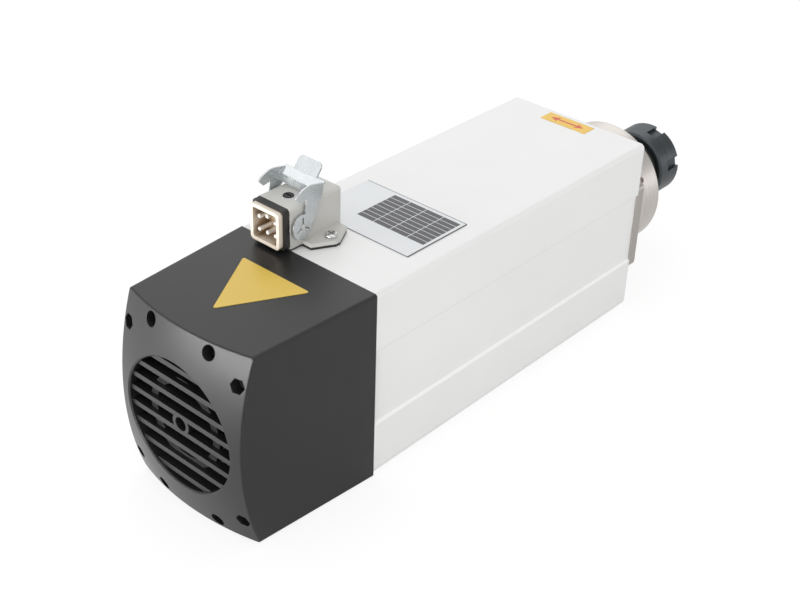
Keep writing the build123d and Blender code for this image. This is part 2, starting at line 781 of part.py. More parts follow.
def connector_top_screw():
    screw_x = connector_front + housing_screw_setback
    head_top = connector_top + housing_screw_rise
    head_seat = connector_top - housing_screw_sink
    shank_end = connector_mid_z + insert_body_size() / 2 + end_gap
    head = post(screw_x, connector_y, head_seat, head_top, housing_screw_radius)
    shank = post(screw_x, connector_y, shank_end, head_seat, housing_screw_shank - seat_clearance)
    blade = Pos(screw_x, connector_y, head_top) * Box(pan_cross_width, 1.6 * housing_screw_radius,
                                                      2 * pan_cross_depth)
    return head + shank - blade


def connector_flange_screws():
    seat = connector_base + flange_thickness
    top = seat + pan_head_height
    arm = 2.6 * m4[0]
    screws = []
    for x, y in flange_screw_places():
        head = post(x, y, seat, top, m4[1])
        head = fillet(head.edges().group_by(Axis.Z)[-1], pan_head_edge)
        cross = Box(arm, pan_cross_width, 2 * pan_cross_depth)
        cross += Box(pan_cross_width, arm, 2 * pan_cross_depth)
        shank = post(x, y, top_z - channel_skin + end_gap, seat, m4[0] * tap_share - seat_clearance)
        screws.append(head + shank - Pos(x, y, top) * cross)
    return screws


def connector_seal():
    plane = across(connector_front - insert_protrusion + insert_lip, connector_y, connector_mid_z)
    outer = plane * RectangleRounded(seal_size, seal_size, insert_corner_radius)
    inner = plane * Rectangle(insert_body_size(), insert_body_size())
    return extrude(outer - inner, insert_protrusion - insert_lip)


def connector_insert():
    face = across(insert_mouth, connector_y, connector_mid_z)
    lip = extrude(face * RectangleRounded(insert_size, insert_size, insert_corner_radius), insert_lip)
    tail_size = insert_body_size() - 2 * seat_clearance
    tail = extrude(face * Rectangle(tail_size, tail_size), insert_pocket_depth + insert_floor)
    tail -= disc(insert_mouth, insert_mouth + insert_lip, insert_size, connector_y, connector_mid_z)
    pocket = insert_size - 2 * insert_wall
    socket = extrude(face * RectangleRounded(pocket, pocket, insert_pocket_corner), insert_pocket_depth)
    body = lip + tail - socket
    for y, z in pin_places():
        body -= disc(insert_mouth, insert_mouth + insert_pocket_depth + insert_floor, pin_radius, y, z)
    return body


def pin_places():
    """Two rows of three; the middle pin of the upper row, for earth, stands higher."""
    places = []
    for row in (-1, 1):
        for column in (-1, 0, 1):
            rise = pin_earth_rise if row == 1 and column == 0 else 0.0
            level = connector_mid_z - pin_drop + row * pin_row_z + rise
            places.append((connector_y + column * pin_spacing_y, level))
    return places


def connector_pins():
    end = insert_mouth + insert_pocket_depth + pin_root
    pins = []
    for y, z in pin_places():
        pin = disc(insert_mouth + pin_setback, end, pin_radius - seat_clearance, y, z)
        pins.append(chamfer(pin.edges().group_by(Axis.X)[0], pin_tip_chamfer))
    return pins


def lead_bundle():
    floor = math.sqrt(winding_outer_radius**2 - (connector_y - lead_radius)**2) + end_gap
    return post(lead_x, connector_y, floor, connector_mid_z - lead_radius, lead_radius)


# ---------------------------------------------------------------- locking lever
def lever_cheek_outline():
    """Side view of one cheek about its pivot, with its hook towards the mouth."""
    bar_top = lever_bar_height + lever_bar_rise
    bar_back = lever_bar_front + lever_bar_depth
    leg = Polyline((3.0, lever_bar_height - 2.7), (1.9, 5.5), (1.9, 0), (6.0, -4.2), (9.0, 2.3), (10.0, 6.8),
                   (11.5, 10.8), (14.0, 12.8), (bar_back - 1.3, lever_bar_height - 0.5),
                   (bar_back - 1.5, bar_top + 0.3), (7.0, bar_top + 2.0))
    crown = ThreePointArc((7.0, bar_top + 2.0), (0.0, bar_top + 1.2), (-5.0, bar_top - 2.2))
    hook = Polyline((-5.0, bar_top - 2.2), (-1.8, bar_top - 5.7), (3.0, lever_bar_height - 2.7))
    return make_face(Curve() + [leg, crown, hook]) + Circle(lever_disc_radius)


def lever_cheek(side):
    inner = connector_y + side * (connector_width / 2 + lever_gap)
    start = inner if side > 0 else inner - lever_sheet
    plane = Plane(origin=(lever_x, start, lever_z), x_dir=(1, 0, 0), z_dir=(0, -1, 0))
    outline = plane * (lever_cheek_outline() - Circle(lever_pin_radius + running_clearance))
    for angle in (90, 210, 330):
        slot = Pos(lever_spring_reach / 2, 0) * SlotOverall(lever_spring_reach, lever_spring_slot)
        outline -= plane * Rot(0, 0, angle) * slot
    return extrude(outline, -lever_sheet)


def lever_strip(start, end, width):
    """Flat strip of the lever's sheet between two points of its side view about the pivot."""
    run, rise = end[0] - start[0], end[1] - start[1]
    middle = Pos(lever_x + (start[0] + end[0]) / 2, connector_y, lever_z + (start[1] + end[1]) / 2)
    strip = Box(math.hypot(run, rise) + lever_sheet, width, lever_sheet)
    if width == lever_tab_width:
        strip = fillet(strip.edges().filter_by(Axis.Z).group_by(Axis.X)[-1], lever_tab_corner)
    return middle * Rot(0, -math.degrees(math.atan2(rise, run)), 0) * strip


def locking_lever():
    width = connector_width + 2 * (lever_gap + lever_sheet)
    front = (lever_bar_front, lever_bar_height)
    back = (lever_bar_front + lever_bar_depth, lever_bar_height + lever_bar_rise)
    lip_end = (lever_bar_front, lever_bar_height - lever_lip_height)
    tab_end = (back[0] + lever_tab_lean, back[1] + lever_tab_rise)
    bar = lever_strip(front, back, width) + lever_strip(lip_end, front, width)
    return lever_cheek(-1) + lever_cheek(1) + bar + lever_strip(back, tab_end, lever_tab_width)


def lever_pivots():
    pins = []
    for side in (-1, 1):
        inner = connector_y + side * (insert_body_size() / 2 + end_gap)
        outer = connector_y + side * (connector_width / 2 + lever_gap + lever_sheet + end_gap)
        plane = Plane(origin=(lever_x, min(inner, outer), lever_z), x_dir=(1, 0, 0), z_dir=(0, 1, 0))
        pins.append(plane * Cylinder(lever_pin_radius, abs(outer - inner), align=LOW))
    return pins


# ---------------------------------------------------------------- collet and nut
def collet():
    front = nut_front - nut_face_land
    back = front - collet_length
    slope = math.tan(math.radians(socket_half_angle))
    face_slope = math.tan(math.radians(collet_face_angle))
    mouth = socket_mouth_radius - taper_clearance
    body = turned((back, collet_bore_radius), (back, mouth - (shaft_nose - back) * slope),
                  (shaft_nose, mouth), (front - collet_face_length, mouth),
                  (front, mouth - collet_face_length * face_slope), (front, collet_bore_radius))
    slit_length = collet_slit_share * collet_length
    slit = Box(slit_length, collet_slit_width, 2 * socket_mouth_radius, align=LOW)
    for step in range(collet_slits):
        turn = collet_slit_phase + 360 * step / collet_slits
        body -= Rot(turn, 0, 0) * Pos(front - slit_length / 2, 0, 0) * slit
        body -= Rot(turn + 180 / collet_slits, 0, 0) * Pos(back + slit_length / 2, 0, 0) * slit
    return body


def collet_nut():
    thread = nose_thread_radius + thread_clearance
    cone_end = nut_front - nut_face_land - collet_face_length
    cone_radius = nut_mouth_radius + collet_face_length * math.tan(math.radians(collet_face_angle))
    cone_start = shaft_nose + nut_shaft_gap
    nut = turned((nut_back, thread), (nut_back, nut_radius - nut_chamfer),
                 (nut_back + nut_chamfer, nut_radius), (nut_front - nut_chamfer, nut_radius),
                 (nut_front, nut_radius - nut_chamfer),
                 (nut_front, nut_mouth_radius), (nut_front - nut_face_land, nut_mouth_radius),
                 (cone_end, cone_radius), (cone_start, cone_radius), (cone_start, thread))
    slot = Pos(nut_front - nut_slot_length / 2, 0, nut_radius) * Box(nut_slot_length, nut_slot_width,
                                                                    2 * nut_slot_depth)
    for step in range(nut_slot_count):
        nut -= Rot(nut_slot_phase + 360 * step / nut_slot_count, 0, 0) * slot
    return nut


# ---------------------------------------------------------------- blank plates on the top face
def top_plate(x_start, length, width, y, thickness):
    return Pos(joint_x + x_start + length / 2, y, top_z) * Box(length, width, thickness, align=LOW)


def rating_plate():
    start = connector_length - connector_overhang + rating_plate_gap
    return top_plate(start, rating_plate_length, rating_plate_width, 0, rating_plate_thickness)


def arrow_label():
    return top_plate(arrow_label_start, arrow_label_length, arrow_label_width, arrow_label_y,
                     label_thickness)


def corner_label():
    """Blank three-cornered label on the sloping top of the fan cover."""
    outline = make_face(Polyline((-corner_label_start, corner_label_width / 2),
                                 (-corner_label_start, -corner_label_width / 2),
                                 (-corner_label_start - corner_label_length, 0), close=True))
    outline = fillet(outline.vertices(), corner_label_radius)
    slope = math.degrees(math.atan(taper_z))
    return Pos(joint_x, 0, top_z) * Rot(0, -slope, 0) * extrude(outline, label_thickness)


def write(name, shape):
    solids = shape if isinstance(shape, list) else [shape]
    pieces = [solid for item in solids for solid in item.solids()]
    export_step(pieces[0] if len(pieces) == 1 else Compound(children=pieces), f"parts/{name}.step")


os.makedirs("parts", exist_ok=True)
write("motor_frame", motor_frame())
write("front_bearing_housing", front_bearing_housing())
write("front_plate_screws", front_plate_screws())
write("nose_cap", nose_cap())
write("nose_cap_screws", nose_cap_screws())
write("front_bearing_outer_rings", [bearing.outer_ring() for bearing in front_bearings])
write("front_bearing_inner_rings", [bearing.inner_ring() for bearing in front_bearings])
write("front_bearing_balls", [ball for bearing in front_bearings for ball in bearing.balls()])
write("front_bearing_cages", [bearing.cage() for bearing in front_bearings])
write("outer_ring_spacer", outer_ring_spacer())
write("inner_ring_spacer", inner_ring_spacer())
write("bearing_locknut", bearing_locknut())
write("rear_bearing_outer_ring", rear_bearing.outer_ring())
write("rear_bearing_inner_ring", rear_bearing.inner_ring())
write("rear_bearing_balls", rear_bearing.balls())
write("rear_bearing_cage", rear_bearing.cage())
write("spindle_shaft", spindle_shaft())
write("rotor_core", rotor_core())
write("rotor_end_rings", rotor_end_rings())
write("stator_core", stator_core())
write("stator_windings", stator_windings())
write("rear_end_shield", rear_end_shield())
write("rear_end_shield_screws", rear_end_shield_screws())
write("preload_washer", preload_washer())
write("bearing_circlip", bearing_circlip())
write("cooling_fan", cooling_fan())
write("fan_screw", fan_screw())
write("fan_cover", fan_cover())
write("fan_cover_bolts", fan_cover_bolts())
write("connector_gasket", connector_gasket())
write("connector_housing", connector_housing())
write("connector_flange_screws", connector_flange_screws())
write("connector_top_screw", connector_top_screw())
write("connector_seal", connector_seal())
write("connector_insert", connector_insert())
write("connector_pins", connector_pins())
write("lead_bundle", lead_bundle())
write("locking_lever", locking_lever())
write("lever_pivots", lever_pivots())
write("collet", collet())
write("collet_nut", collet_nut())
write("rating_plate", rating_plate())
write("arrow_label", arrow_label())
write("corner_label", corner_label())
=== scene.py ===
import math

import bmesh
import bpy
from mathutils import Matrix, Vector


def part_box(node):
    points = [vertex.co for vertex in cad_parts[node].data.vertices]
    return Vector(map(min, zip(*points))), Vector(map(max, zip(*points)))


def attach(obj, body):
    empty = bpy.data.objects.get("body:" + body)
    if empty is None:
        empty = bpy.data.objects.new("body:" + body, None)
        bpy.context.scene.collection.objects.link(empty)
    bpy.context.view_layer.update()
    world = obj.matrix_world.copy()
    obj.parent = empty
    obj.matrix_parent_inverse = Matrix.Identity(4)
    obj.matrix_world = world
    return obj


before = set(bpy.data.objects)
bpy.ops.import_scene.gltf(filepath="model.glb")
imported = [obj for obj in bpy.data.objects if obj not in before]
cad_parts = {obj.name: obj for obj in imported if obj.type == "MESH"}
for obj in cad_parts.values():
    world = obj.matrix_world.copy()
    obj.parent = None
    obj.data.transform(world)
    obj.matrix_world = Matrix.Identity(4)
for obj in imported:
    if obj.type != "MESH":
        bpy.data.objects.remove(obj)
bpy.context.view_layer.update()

MM = 0.001
MM_IN_METRE = 1000.0


# ---------------------------------------------------------------- places read from the frame
frame_low, frame_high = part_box("motor_frame")
plate_low, plate_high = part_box("rating_plate")
arrow_low, arrow_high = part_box("arrow_label")


# ---------------------------------------------------------------- node tree helpers
def new_group(name, inputs, outputs):
    """Shader node group: its inputs are {name: (kind, default)}, its outputs {name: kind}."""
    group = bpy.data.node_groups.new(name, "ShaderNodeTree")
    kinds = {"value": "NodeSocketFloat", "vector": "NodeSocketVector"}
    for socket, (kind, default) in inputs.items():
        item = group.interface.new_socket(socket, in_out="INPUT", socket_type=kinds[kind])
        item.default_value = default
    for socket, kind in outputs.items():
        group.interface.new_socket(socket, in_out="OUTPUT", socket_type=kinds[kind])
    return group, group.nodes.new("NodeGroupInput"), group.nodes.new("NodeGroupOutput")


def feed(tree, socket, value):
    """Link the socket to another one, or give it a plain value."""
    if isinstance(value, bpy.types.NodeSocket):
        tree.links.new(value, socket)
    else:
        socket.default_value = value


def add(tree, kind, settings=None, **values):
    """Node of one kind: settings are its properties, values are its input sockets by name."""
    node = tree.nodes.new(kind)
    for name, value in (settings or {}).items():
        setattr(node, name, value)
    for name, value in values.items():
        feed(tree, node.inputs[name.replace("_", " ")], value)
    return node


def math_node(tree, operation, *values):
    node = tree.nodes.new("ShaderNodeMath")
    node.operation = operation
    for slot, value in enumerate(values):
        feed(tree, node.inputs[slot], value)
    return node.outputs[0]


def vector_math(tree, operation, first, second):
    node = tree.nodes.new("ShaderNodeVectorMath")
    node.operation = operation
    feed(tree, node.inputs[0], first)
    feed(tree, node.inputs[1], second)
    return node


def object_coords(tree):
    return tree.nodes.new("ShaderNodeTexCoord").outputs["Object"]


def split(tree, vector):
    """The three components of a vector."""
    return add(tree, "ShaderNodeSeparateXYZ", Vector=vector).outputs


def remap(tree, value, low, high, to_low=0.0, to_high=1.0):
    node = add(tree, "ShaderNodeMapRange", Value=value, From_Min=low, From_Max=high, To_Min=to_low,
               To_Max=to_high)
    return node.outputs["Result"]


def mix_color(tree, factor, first, second):
    node = tree.nodes.new("ShaderNodeMix")
    node.data_type = "RGBA"
    color_a, color_b = node.inputs[6], node.inputs[7]
    feed(tree, node.inputs["Factor"], factor)
    feed(tree, color_a, first)
    feed(tree, color_b, second)
    return node.outputs[2]


# ---------------------------------------------------------------- shared surface effects
def grain_group():
    """Fine moulded or sprayed grain: a height for bumps and a slow cloud for tone."""
    group, source, sink = new_group(
        "surface_grain", {"Grain Size mm": ("value", 0.6), "Cloud Size mm": ("value", 40.0)},
        {"Height": "value", "Cloud": "value"})
    coords = object_coords(group)
    fine_scale = math_node(group, "DIVIDE", MM_IN_METRE, source.outputs["Grain Size mm"])
    cloud_scale = math_node(group, "DIVIDE", MM_IN_METRE, source.outputs["Cloud Size mm"])
    fine = add(group, "ShaderNodeTexNoise", Vector=coords, Scale=fine_scale, Detail=3.0, Roughness=0.6)
    cloud = add(group, "ShaderNodeTexNoise", Vector=coords, Scale=cloud_scale, Detail=2.0)
    group.links.new(fine.outputs["Fac"], sink.inputs["Height"])
    group.links.new(cloud.outputs["Fac"], sink.inputs["Cloud"])
    return group


def edge_group():
    """Mask of outer edges, broken up by noise, from the difference of a rounded normal."""
    flat_cosine, full_edge_cosine = 0.995, 0.9
    unmarked_noise, full_mark_noise = 0.42, 0.62
    group, source, sink = new_group(
        "edge_wear_and_highlight", {"Width mm": ("value", 0.5), "Patch Size mm": ("value", 4.0)},
        {"Mask": "value", "Normal": "vector"})
    radius = math_node(group, "MULTIPLY", source.outputs["Width mm"], MM)
    rounded = add(group, "ShaderNodeBevel", {"samples": 4}, Radius=radius).outputs["Normal"]
    face_normal = group.nodes.new("ShaderNodeNewGeometry").outputs["Normal"]
    cosine = vector_math(group, "DOT_PRODUCT", rounded, face_normal).outputs["Value"]
    edge = remap(group, cosine, flat_cosine, full_edge_cosine)
    scale = math_node(group, "DIVIDE", MM_IN_METRE, source.outputs["Patch Size mm"])
    patch = add(group, "ShaderNodeTexNoise", Vector=object_coords(group), Scale=scale, Detail=4.0)
    broken = remap(group, patch.outputs["Fac"], unmarked_noise, full_mark_noise)
    group.links.new(math_node(group, "MULTIPLY", edge, broken), sink.inputs["Mask"])
    group.links.new(rounded, sink.inputs["Normal"])
    return group


def line_noise(group, along, scale, detail, roughness=0.5):
    """Noise that changes along one length only."""
    noise = add(group, "ShaderNodeTexNoise", {"noise_dimensions": "1D"}, Scale=1.0, Detail=detail,
                Roughness=roughness)
    group.links.new(math_node(group, "MULTIPLY", along, scale), noise.inputs["W"])
    return noise.outputs["Fac"]


def turning_group():
    """Rings left by a lathe round the X axis: their height, a broad tone, and the distance from the axis."""
    broad_rings_per_metre = 260.0
    group, source, sink = new_group("turning_marks", {"Pitch mm": ("value", 0.25)},
                                    {"Height": "value", "Tone": "value", "Radius": "value"})
    place = split(group, object_coords(group))
    squared = math_node(group, "ADD", math_node(group, "POWER", place["Y"], 2.0),
                        math_node(group, "POWER", place["Z"], 2.0))
    radius = math_node(group, "SQRT", squared)
    along = math_node(group, "ADD", place["X"], radius)
    fine_rings = math_node(group, "DIVIDE", MM_IN_METRE, source.outputs["Pitch mm"])
    height = line_noise(group, along, fine_rings, detail=3.0, roughness=0.7)
    tone = line_noise(group, along, broad_rings_per_metre, detail=2.0)
    group.links.new(height, sink.inputs["Height"])
    group.links.new(tone, sink.inputs["Tone"])
    group.links.new(radius, sink.inputs["Radius"])
    return group


def brushed_group():
    """Long scratches along one axis, as a height."""
    group, source, sink = new_group(
        "brushed_lines", {"Stretch": ("vector", (1.0, 1.0, 1.0)), "Size mm": ("value", 0.4)},
        {"Height": "value"})
    scaled = vector_math(group, "MULTIPLY", object_coords(group), source.outputs["Stretch"])
    scale = math_node(group, "DIVIDE", MM_IN_METRE, source.outputs["Size mm"])
    lines = add(group, "ShaderNodeTexNoise", Vector=scaled.outputs["Vector"], Scale=scale, Detail=3.0)
    group.links.new(lines.outputs["Fac"], sink.inputs["Height"])
    return group


GRAIN = grain_group()
EDGE = edge_group()
TURNING = turning_group()
BRUSHED = brushed_group()


def place_group(tree, group, **values):
    node = tree.nodes.new("ShaderNodeGroup")
    node.node_tree = group
    for name, value in values.items():
        node.inputs[name.replace("_", " ")].default_value = value
    return node


# ---------------------------------------------------------------- materials
noise_low, noise_high = 0.3, 0.7        # where most of a noise lies


def start_material(name):
    material = bpy.data.materials.new(name)
    material.use_nodes = True
    tree = material.node_tree
    shader = tree.nodes["Principled BSDF"]
    return material, tree, shader


def rgb(red, green, blue):
    return (red, green, blue, 1.0)


def two_tone(tree, noise, color_low, color):
    """Colour that drifts between two near tones."""
    return mix_color(tree, remap(tree, noise, noise_low, noise_high), color_low, color)


def varied_roughness(tree, shader, noise, roughness, spread):
    """Roughness that drifts with a noise, half the spread to each side."""
    low, high = roughness - spread / 2, roughness + spread / 2
    tree.links.new(remap(tree, noise, noise_low, noise_high, low, high), shader.inputs["Roughness"])


def edge_wear_and_highlight_color(tree, edge, tone, edge_color, strength):
    """Tone that turns to the edge colour along the edges: wear on some finishes, a painted highlight on the
    white coat and the bright sheet.
    """
    edge_share = remap(tree, edge.outputs["Mask"], 0.0, 1.0, 0.0, strength)
    return mix_color(tree, edge_share, tone, edge_color)


def bump(tree, shader, height, depth_mm, edge=None):
    """Relief from a height, over the edges' rounded normal where there is one."""
    relief = add(tree, "ShaderNodeBump", Strength=1.0, Distance=depth_mm * MM, Height=height)
    if edge:
        tree.links.new(edge.outputs["Normal"], relief.inputs["Normal"])
    tree.links.new(relief.outputs["Normal"], shader.inputs["Normal"])


def grained(name, color, color_low, roughness, grain_mm, depth_mm, metallic=0.0, edge_color=None,
            edge_mm=0.4, edge_strength=0.5, roughness_spread=0.06, specular=0.5):
    """Sprayed or moulded finish: grain bump, slow tone change and a tinted edge, which is wear on some
    finishes and a painted highlight on others.
    """
    material, tree, shader = start_material(name)
    grain = place_group(tree, GRAIN, Grain_Size_mm=grain_mm, Cloud_Size_mm=45.0)
    edge = place_group(tree, EDGE, Width_mm=edge_mm)
    tone = two_tone(tree, grain.outputs["Cloud"], color_low, color)
    tone = edge_wear_and_highlight_color(tree, edge, tone, edge_color or color, edge_strength)
    tree.links.new(tone, shader.inputs["Base Color"])
    varied_roughness(tree, shader, grain.outputs["Cloud"], roughness, roughness_spread)
    bump(tree, shader, grain.outputs["Height"], depth_mm, edge)
    shader.inputs["Metallic"].default_value = metallic
    shader.inputs["Specular IOR Level"].default_value = specular
    return material


def turned_metal(name, color, color_low, roughness, pitch_mm, depth_mm, edge_mm=0.35, milled_from=None,
                 milled_color=None):
    """Metal finished on a lathe round the spindle axis, or milled from a radius outwards."""
    tone_low, tone_high = 0.35, 0.65
    material, tree, shader = start_material(name)
    marks = place_group(tree, TURNING, Pitch_mm=pitch_mm)
    edge = place_group(tree, EDGE, Width_mm=edge_mm)
    tone = mix_color(tree, remap(tree, marks.outputs["Tone"], tone_low, tone_high), color_low, color)
    if milled_from:
        outside = math_node(tree, "GREATER_THAN", marks.outputs["Radius"], milled_from)
        tone = mix_color(tree, outside, tone, milled_color)
    tree.links.new(tone, shader.inputs["Base Color"])
    varied_roughness(tree, shader, marks.outputs["Height"], roughness, spread=0.1)
    bump(tree, shader, marks.outputs["Height"], depth_mm, edge)
    shader.inputs["Metallic"].default_value = 1.0
    return material


def brushed_metal(name, color, color_low, roughness, stretch, size_mm, depth_mm, edge_mm, metallic):
    """Rolled or brushed sheet with fine lines one way, and edges painted bright as a highlight."""
    material, tree, shader = start_material(name)
    lines = place_group(tree, BRUSHED, Stretch=stretch, Size_mm=size_mm)
    grain = place_group(tree, GRAIN, Grain_Size_mm=1.2, Cloud_Size_mm=6.0)
    edge = place_group(tree, EDGE, Width_mm=edge_mm)
    tone = two_tone(tree, grain.outputs["Cloud"], color_low, color)
    # Painted highlight: the edges turn almost white.
    tone = edge_wear_and_highlight_color(tree, edge, tone, rgb(0.95, 0.95, 0.95), strength=0.7)
    tree.links.new(tone, shader.inputs["Base Color"])
    varied_roughness(tree, shader, lines.outputs["Height"], roughness, spread=0.12)
    bump(tree, shader, lines.outputs["Height"], depth_mm, edge)
    shader.inputs["Metallic"].default_value = metallic
    return material


def recessed(name, color, color_low, painted_cavity_shade, reach_mm, roughness):
    """Moulded plastic whose deep recess is painted darker than its lip: painted shade, by ambient occlusion.
    """
    closed_share, open_share = 0.45, 0.8
    material, tree, shader = start_material(name)
    grain = place_group(tree, GRAIN, Grain_Size_mm=0.6, Cloud_Size_mm=9.0)
    edge = place_group(tree, EDGE, Width_mm=0.35)
    tone = two_tone(tree, grain.outputs["Cloud"], color_low, color)
    openness = add(tree, "ShaderNodeAmbientOcclusion", {"samples": 8}, Distance=reach_mm * MM)
    depth = remap(tree, openness.outputs["AO"], closed_share, open_share)
    tree.links.new(mix_color(tree, depth, painted_cavity_shade, tone), shader.inputs["Base Color"])
    bump(tree, shader, grain.outputs["Height"], depth_mm=0.012, edge=edge)
    shader.inputs["Roughness"].default_value = roughness
    return material


def side_shaded_film(name, color, color_low, edge_color, roughness):
    """Thin printed film whose upright sides are painted dark: painted shade along the plate's edges."""
    side_slope, face_slope = 0.2, 0.6
    material, tree, shader = start_material(name)
    grain = place_group(tree, GRAIN, Grain_Size_mm=0.5, Cloud_Size_mm=45.0)
    slope = split(tree, tree.nodes.new("ShaderNodeNewGeometry").outputs["True Normal"])["Z"]
    tone = two_tone(tree, grain.outputs["Cloud"], color_low, color)
    upright = remap(tree, slope, side_slope, face_slope)
    tree.links.new(mix_color(tree, upright, edge_color, tone), shader.inputs["Base Color"])
    bump(tree, shader, grain.outputs["Height"], depth_mm=0.004)
    shader.inputs["Roughness"].default_value = roughness
    return material


band_half_height = 23.0 * MM
band_depth = 1.2 * MM
band_paint_from_y = frame_high.y - 1.2 * band_depth
ledge_half_width = 0.7 * band_depth
shadow_half_width = 0.3 * band_depth


def paint_band_highlight_and_shadow(material):
    """The ledge under each side band gets a painted highlight, and its upper corner a thin painted shadow.
    """
    tree = material.node_tree
    shader = tree.nodes["Principled BSDF"]
    tone = shader.inputs["Base Color"].links[0].from_socket
    place = split(tree, object_coords(tree))
    outside = math_node(tree, "GREATER_THAN", math_node(tree, "ABSOLUTE", place["Y"]), band_paint_from_y)
    ledge_z = -band_half_height - band_depth / 2
    corner_z = band_half_height + band_depth
    ledge = math_node(tree, "COMPARE", place["Z"], ledge_z, ledge_half_width)
    corner = math_node(tree, "COMPARE", place["Z"], corner_z, shadow_half_width)
    lit = mix_color(tree, math_node(tree, "MULTIPLY", ledge, outside), tone, rgb(1.0, 1.0, 0.99))
    shaded = mix_color(tree, math_node(tree, "MULTIPLY", corner, outside), lit, rgb(0.74, 0.73, 0.71))
    tree.links.new(shaded, shader.inputs["Base Color"])


# The frame's lighter edge colour is a painted highlight along its edges.
WHITE_COAT = grained(
    "white_powder_coat", color=rgb(0.86, 0.86, 0.86), color_low=rgb(0.84, 0.84, 0.84), roughness=0.34,
    grain_mm=0.9, depth_mm=0.02, edge_color=rgb(0.96, 0.96, 0.96), edge_strength=0.8, edge_mm=0.3,
    roughness_spread=0.04)
# Painted highlight and painted shadow along the frame's side bands.
paint_band_highlight_and_shadow(WHITE_COAT)
CHARCOAL = grained(
    "charcoal_moulding", color=rgb(0.017, 0.0172, 0.0172), color_low=rgb(0.0135, 0.0137, 0.0137),
    roughness=0.36, grain_mm=0.5, depth_mm=0.03, edge_color=rgb(0.05, 0.05, 0.05), edge_mm=0.6,
    specular=0.46)
PLATE_ALUMINIUM = turned_metal(
    "turned_aluminium", color=rgb(0.73, 0.69, 0.655), color_low=rgb(0.66, 0.625, 0.59), roughness=0.4,
    pitch_mm=0.3, depth_mm=0.01, milled_from=44.0 * MM, milled_color=rgb(0.53, 0.5, 0.47))
CAST_ALUMINIUM = grained(
    "cast_aluminium", color=rgb(0.6, 0.6, 0.59), color_low=rgb(0.52, 0.52, 0.51), roughness=0.45,
    grain_mm=0.8, depth_mm=0.03, metallic=1.0)
GROUND_STEEL = turned_metal(
    "ground_steel", color=rgb(0.36, 0.36, 0.37), color_low=rgb(0.3, 0.3, 0.31), roughness=0.28,
    pitch_mm=0.2, depth_mm=0.005)
BLACK_OXIDE = turned_metal(
    "black_oxide_steel", color=rgb(0.1, 0.11, 0.117), color_low=rgb(0.09, 0.1, 0.106), roughness=0.42,
    pitch_mm=0.4, depth_mm=0.005, edge_mm=0.5)
BEARING_STEEL = turned_metal(
    "bearing_steel", color=rgb(0.6, 0.6, 0.62), color_low=rgb(0.55, 0.55, 0.57), roughness=0.18,
    pitch_mm=0.2, depth_mm=0.003)
CAGE_BRASS = turned_metal(
    "cage_brass", color=rgb(0.72, 0.52, 0.2), color_low=rgb(0.62, 0.44, 0.16), roughness=0.3,
    pitch_mm=0.25, depth_mm=0.006)
LAMINATION = turned_metal(
    "lamination_steel", color=rgb(0.3, 0.3, 0.32), color_low=rgb(0.22, 0.22, 0.24), roughness=0.42,
    pitch_mm=0.5, depth_mm=0.05)
COPPER = grained(
    "varnished_copper", color=rgb(0.45, 0.17, 0.06), color_low=rgb(0.36, 0.12, 0.04), roughness=0.3,
    grain_mm=0.9, depth_mm=0.2, metallic=0.7)
ROTOR_ALUMINIUM = grained(
    "rotor_aluminium", color=rgb(0.7, 0.7, 0.71), color_low=rgb(0.6, 0.6, 0.61), roughness=0.42,
    grain_mm=0.8, depth_mm=0.04, metallic=1.0)
FAN_PLASTIC = grained(
    "fan_moulding", color=rgb(0.03, 0.03, 0.033), color_low=rgb(0.024, 0.024, 0.026), roughness=0.45,
    grain_mm=0.5, depth_mm=0.02)
ZINC = grained(
    "zinc_plate", color=rgb(0.68, 0.68, 0.68), color_low=rgb(0.6, 0.6, 0.6), roughness=0.26,
    grain_mm=0.8, depth_mm=0.01, metallic=1.0)
BLACK_SCREW = grained(
    "black_screw_steel", color=rgb(0.045, 0.045, 0.048), color_low=rgb(0.035, 0.035, 0.038),
    roughness=0.38, grain_mm=0.6, depth_mm=0.01, metallic=0.8)
LEVER_STEEL = brushed_metal(
    "bright_zinc_sheet", color=rgb(0.6, 0.63, 0.64), color_low=rgb(0.56, 0.59, 0.6), roughness=0.26,
    stretch=(1.0, 1.0, 6.0), size_mm=0.8, depth_mm=0.004, edge_mm=0.4, metallic=0.75)
HOUSING_GREY = grained(
    "grey_die_casting", color=rgb(0.58, 0.575, 0.55), color_low=rgb(0.55, 0.545, 0.52), roughness=0.4,
    grain_mm=0.5, depth_mm=0.03, edge_color=rgb(0.72, 0.71, 0.69), edge_strength=0.8)
RUBBER = grained(
    "black_rubber", color=rgb(0.012, 0.012, 0.012), color_low=rgb(0.009, 0.009, 0.009), roughness=0.5,
    grain_mm=0.4, depth_mm=0.02)
# The brown cavity colour is painted shade inside the insert's recess.
IVORY = recessed(
    "ivory_moulding", color=rgb(0.79, 0.715, 0.62), color_low=rgb(0.76, 0.685, 0.59),
    painted_cavity_shade=rgb(0.3, 0.2, 0.11), reach_mm=9.0, roughness=0.42)
CONTACT = grained(
    "silver_contact", color=rgb(0.93, 0.91, 0.88), color_low=rgb(0.9, 0.88, 0.85), roughness=0.3,
    grain_mm=0.4, depth_mm=0.003, metallic=0.3)
LEAD_SLEEVE = grained(
    "lead_sleeve", color=rgb(0.03, 0.03, 0.03), color_low=rgb(0.025, 0.025, 0.025), roughness=0.5,
    grain_mm=0.8, depth_mm=0.05)
# The dark edge colour is painted shade on the rating plate's sides.
PLATE_SILVER = side_shaded_film(
    "plate_film", color=rgb(0.76, 0.78, 0.8), color_low=rgb(0.73, 0.75, 0.77),
    edge_color=rgb(0.12, 0.12, 0.125), roughness=0.3)
